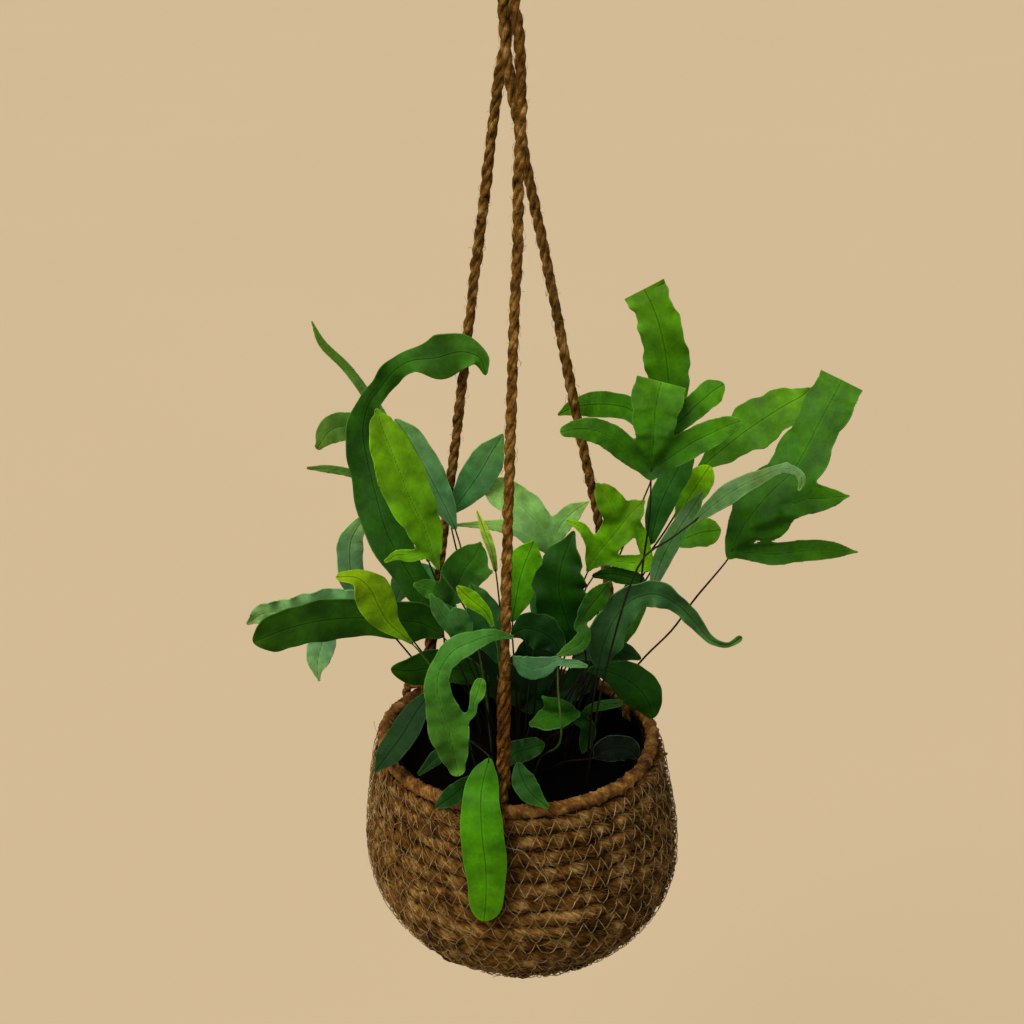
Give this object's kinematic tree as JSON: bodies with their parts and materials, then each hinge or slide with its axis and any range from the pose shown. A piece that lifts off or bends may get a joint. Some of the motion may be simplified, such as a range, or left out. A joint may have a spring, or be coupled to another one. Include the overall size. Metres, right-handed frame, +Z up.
{
  "type": "fern in hanging basket",
  "caption": "Lobed fern with upright and arching fronds in a coiled fibre basket that hangs from twisted ropes gathered in a knot and loop.",
  "frame": {"origin": "where the inside of the hanging loop's top rests on its hook", "axes": "+Z up along the hook, +X to the right and +Y away from the viewer, as the picture sees it"},
  "size_m": [0.3874, 0.259, 0.6942],
  "materials": {
    "basket_fibre": "coiled plant fibre, matt, golden brown",
    "liner_plastic": "black sheet, matt",
    "soil": "damp dark potting soil",
    "rope_jute": "twisted jute, matt, brown with pale strands",
    "leaf_dark": "satin dark green leaf",
    "leaf_mid": "satin mid green leaf",
    "leaf_bright": "satin young yellow-green leaf",
    "leaf_blue": "satin green leaf with a blue-grey bloom"
  },
  "bodies": {
    "root": {"basket": "basket_fibre", "liner": "liner_plastic", "soil": "soil", "rope_front": "rope_jute", "rope_back_left": "rope_jute", "rope_back_right": "rope_jute", "top_knot": "rope_jute", "hanging_loop": "rope_jute", "frond_left_arch": "leaf_mid", "frond_left_bright": "leaf_bright", "frond_left_back": "leaf_mid", "frond_left_grey": "leaf_blue", "frond_left_lime": "leaf_bright", "frond_left_dark": "leaf_dark", "frond_left_wavy": "leaf_blue", "frond_left_blue": "leaf_blue", "frond_mid_ovate": "leaf_blue", "frond_mid_young": "leaf_bright", "frond_mid_dark": "leaf_mid", "frond_mid_lime": "leaf_bright", "frond_front_droop": "leaf_mid", "frond_rim_left": "leaf_mid", "frond_rim_left_low": "leaf_dark", "frond_inner_left": "leaf_dark", "frond_front_hanging": "leaf_bright", "frond_front_rim_left": "leaf_dark", "frond_front_rim_right": "leaf_dark", "frond_front_curl": "leaf_dark", "frond_front_folded": "leaf_mid", "frond_front_cross": "leaf_blue", "frond_rim_right": "leaf_dark", "frond_right_curly": "leaf_mid", "frond_centre_dark": "leaf_dark", "frond_centre_lobed": "leaf_bright", "frond_hand": "leaf_mid", "frond_top_tall": "leaf_mid", "frond_right_tall": "leaf_mid", "frond_right_broad": "leaf_bright", "frond_right_curved": "leaf_blue", "frond_right_round": "leaf_mid", "frond_right_blue": "leaf_mid", "frond_right_lime": "leaf_bright", "frond_right_strap": "leaf_blue", "frond_centre_low": "leaf_dark", "frond_mid_lobed": "leaf_blue", "frond_mid_bright": "leaf_bright", "frond_centre_arch": "leaf_dark", "frond_right_small": "leaf_mid", "frond_inner_round": "leaf_dark", "frond_inner_twin": "leaf_dark", "frond_mid_leaflet": "leaf_mid", "frond_mid_shade": "leaf_mid", "frond_centre_wide": "leaf_dark", "frond_right_behind": "leaf_mid", "frond_inner_dark": "leaf_dark", "frond_back_centre": "leaf_mid", "frond_back_left": "leaf_mid", "frond_back_right": "leaf_mid", "frond_back_top": "leaf_mid"}
  },
  "joints": []
}
